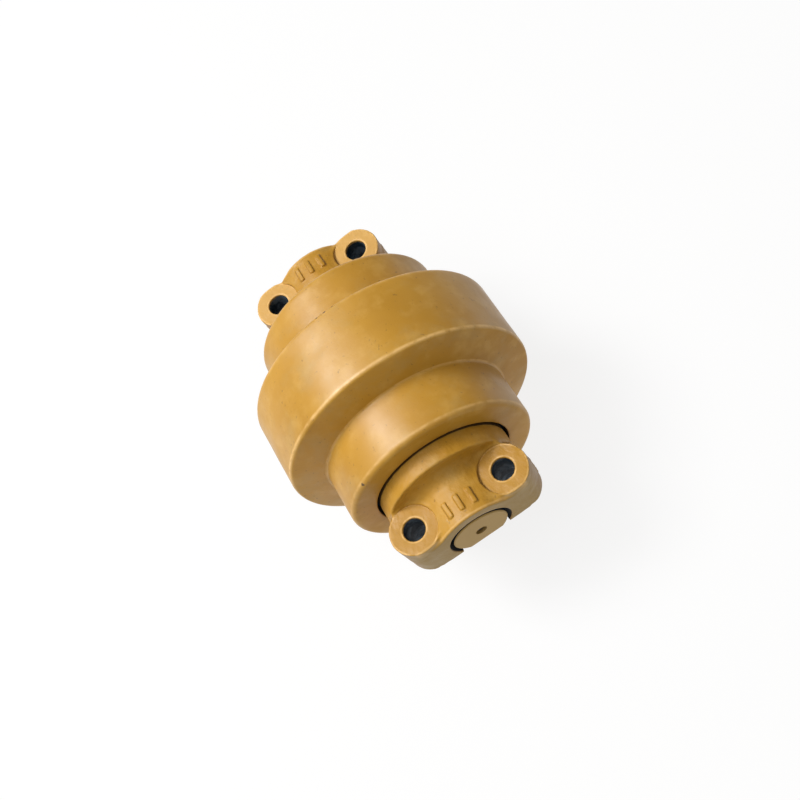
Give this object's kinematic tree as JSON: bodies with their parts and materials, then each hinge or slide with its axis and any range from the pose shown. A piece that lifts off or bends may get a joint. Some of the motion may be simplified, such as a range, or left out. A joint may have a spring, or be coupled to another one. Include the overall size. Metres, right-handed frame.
{
  "type": "track roller",
  "caption": "Sealed track roller with a centre flange between two treads, turning on a fixed shaft held by bolt-on end collars.",
  "frame": {"origin": "on the shaft axis at mid-length, which is the centre of the whole part", "axes": "+Y along the shaft towards the rear collar, +Z towards the bolt heads; the collars' mating flats face -Z, so the track frame lies on the -Z side and the track chain on the +Z side. In service under a machine the part hangs the other way up, with -Z pointing up."},
  "size_m": [0.162, 0.21, 0.162],
  "materials": {
    "shell_paint": "ochre-yellow paint over forged and turned steel, satin",
    "collar_paint": "ochre-yellow paint over rough cast iron, satin",
    "shaft_paint": "turned steel, with ochre-yellow paint over its ends",
    "bronze": "steel-backed bronze, turned",
    "seal_iron": "hard iron, lapped on the sealing face",
    "rubber": "black nitrile rubber, matte",
    "steel": "plain steel, slightly oily"
  },
  "bodies": {
    "fixed_axle": {"shaft": "shaft_paint", "front_collar": "collar_paint", "rear_collar": "collar_paint", "front_fixed_seal_ring": "seal_iron", "rear_fixed_seal_ring": "seal_iron", "front_fixed_toric": "rubber", "rear_fixed_toric": "rubber", "front_shaft_o_ring": "rubber", "rear_shaft_o_ring": "rubber", "front_lock_pin": "steel", "rear_lock_pin": "steel", "front_oil_plug": "steel", "rear_oil_plug": "steel"},
    "roller": {"roller_shell": "shell_paint", "front_bush": "bronze", "rear_bush": "bronze", "front_turning_seal_ring": "seal_iron", "rear_turning_seal_ring": "seal_iron", "front_turning_toric": "rubber", "rear_turning_toric": "rubber"}
  },
  "joints": [
    {"name": "roller_spin", "type": "hinge", "parent": "fixed_axle", "child": "roller", "pos_m": [0, 0, 0], "axis": [0, 1, 0], "continuous": true}
  ]
}
